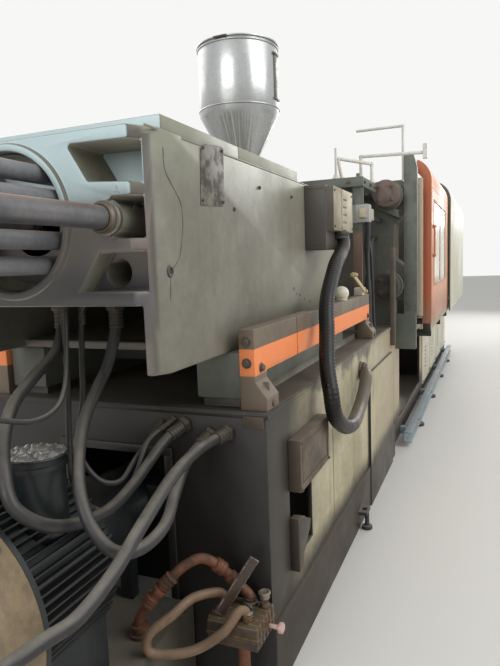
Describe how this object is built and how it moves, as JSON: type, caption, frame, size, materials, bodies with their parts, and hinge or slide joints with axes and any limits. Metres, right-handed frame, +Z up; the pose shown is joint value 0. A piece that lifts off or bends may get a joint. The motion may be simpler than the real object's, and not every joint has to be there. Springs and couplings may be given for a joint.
{
  "type": "injection moulding machine",
  "caption": "Horizontal injection moulding machine with hydraulic pump set, sliding injection carriage, clamp unit with tie bars and sliding guard doors.",
  "frame": {"origin": "middle of the machine's footprint, on the floor", "axes": "+X along the machine from the pump and injection end to the clamp end, +Y to the control cabinet's side, +Z up"},
  "size_m": [9, 1.7, 2.5993],
  "materials": {
    "machine_grey": "worn grey-green paint with scratches and oil stains",
    "panel_cream": "cream paint",
    "guard_orange": "faded orange paint",
    "column_grey": "grey paint",
    "platen_iron": "painted casting, oily",
    "bright_steel": "oiled",
    "chromed_rod": "ground",
    "base_steel": "pale blue-grey",
    "pad_rubber": "black",
    "white_tube": "white",
    "bare_bar": "dirty brown-grey",
    "motor_black": "dark paint, dusty",
    "cowl_brown": "brown dust over paint",
    "rusty_steel": "rust",
    "knob_pink": "faded",
    "pump_white": "off-white",
    "lever_yellow": "yellowed",
    "button_red": "red",
    "button_green": "green",
    "barrel_steel": "heat-darkened",
    "band_steel": "sheet",
    "hopper_steel": "sheet",
    "box_dark": "dark and cream paint",
    "window_clear": "clear",
    "hose_black": "dusty black",
    "hose_brown": "brown"
  },
  "bodies": {
    "frame": {"injection_bed": "machine_grey", "access_covers": "machine_grey", "clamp_bed": "machine_grey", "top_platform": "machine_grey", "bed_panels": "panel_cream", "end_guards": "panel_cream", "control_cabinet": "panel_cream", "beam_guards": "guard_orange", "guard_columns": "column_grey", "operator_panel": "column_grey", "fixed_platen": "platen_iron", "clamp_cylinder": "platen_iron", "tie_bar_caps": "platen_iron", "tie_bars": "bright_steel", "carriage_rod": "chromed_rod", "base_channels": "base_steel", "levelling_pads": "pad_rubber", "top_rails": "white_tube", "post_bar": "bare_bar", "pump_motor": "motor_black", "hydraulic_pump": "motor_black", "motor_cowl": "cowl_brown", "pump_base": "cowl_brown", "water_pipework": "rusty_steel", "lube_pump": "pump_white", "conduit": "hose_black", "left_hose": "hose_black", "middle_hose": "hose_black", "long_hose": "hose_black", "thin_hose": "hose_black", "short_hose": "hose_black", "platen_hose": "hose_black", "water_hose": "hose_brown"},
    "carriage": {"saddle": "machine_grey", "injection_housing": "machine_grey", "housing_lid": "machine_grey", "guide_bars": "bright_steel", "rear_plate": "machine_grey", "barrel": "barrel_steel", "heater_bands": "band_steel", "hopper": "hopper_steel", "junction_box": "box_dark", "cable": "hose_black"},
    "thrust": {"thrust_plate": "platen_iron", "hydraulic_motor": "motor_black", "injection_rods": "chromed_rod"},
    "screw": {"screw": "bright_steel"},
    "hopper_lid": {"hopper_lid": "hopper_steel"},
    "platen": {"moving_platen": "platen_iron", "clamp_ram": "chromed_rod"},
    "ejector": {"ejector": "bright_steel"},
    "front_door": {"front_door": "guard_orange", "door_window": "window_clear"},
    "rear_door": {"rear_door": "guard_orange"},
    "cabinet_door": {"cabinet_door": "panel_cream"},
    "emergency_stop": {"emergency_stop": "button_red"},
    "start_button": {"start_button": "button_green"},
    "rotor": {"motor_rotor": "bright_steel"},
    "valve_handle": {"valve_handle": "knob_pink"},
    "lube_lever": {"lube_lever": "lever_yellow"}
  },
  "joints": [
    {"name": "carriage_slide", "type": "slide", "parent": "frame", "child": "carriage", "axis": [1, 0, 0], "range_m": [-0.25, 0]},
    {"name": "injection_slide", "type": "slide", "parent": "carriage", "child": "thrust", "axis": [1, 0, 0], "range_m": [0, 0.3]},
    {"name": "screw_spin", "type": "hinge", "parent": "thrust", "child": "screw", "pos_m": [-2, 0, 1.58], "axis": [1, 0, 0], "continuous": true},
    {"name": "hopper_lid_hinge", "type": "hinge", "parent": "carriage", "child": "hopper_lid", "pos_m": [-2.066, 0, 2.5643], "axis": [0, -1, 0], "range_deg": [0, 100]},
    {"name": "clamp_slide", "type": "slide", "parent": "frame", "child": "platen", "axis": [-1, 0, 0], "range_m": [0, 0.6]},
    {"name": "ejector_slide", "type": "slide", "parent": "platen", "child": "ejector", "axis": [-1, 0, 0], "range_m": [0, 0.1]},
    {"name": "front_door_slide", "type": "slide", "parent": "frame", "child": "front_door", "axis": [1, 0, 0], "range_m": [0, 1.5]},
    {"name": "rear_door_slide", "type": "slide", "parent": "frame", "child": "rear_door", "axis": [1, 0, 0], "range_m": [0, 1.5]},
    {"name": "cabinet_hinge", "type": "hinge", "parent": "frame", "child": "cabinet_door", "pos_m": [-2.898, 0.8333, 0.8], "axis": [0, 0, 1], "range_deg": [0, 110]},
    {"name": "emergency_stop_press", "type": "slide", "parent": "frame", "child": "emergency_stop", "axis": [0, -1, 0], "range_m": [0, 0.006], "stiffness_N_per_m": 600},
    {"name": "start_press", "type": "slide", "parent": "frame", "child": "start_button", "axis": [0, -1, 0], "range_m": [0, 0.006], "stiffness_N_per_m": 600},
    {"name": "motor_spin", "type": "hinge", "parent": "frame", "child": "rotor", "pos_m": [-3.6, 0, 0.6], "axis": [1, 0, 0], "continuous": true},
    {"name": "valve_turn", "type": "hinge", "parent": "frame", "child": "valve_handle", "pos_m": [-3.2, -0.64, 0.305], "axis": [0, 1, 0], "range_deg": [0, 360]},
    {"name": "lever_swing", "type": "hinge", "parent": "frame", "child": "lube_lever", "pos_m": [-1.34, -0.555, 1.262], "axis": [0, 1, 0], "range_deg": [-8, 30]}
  ]
}
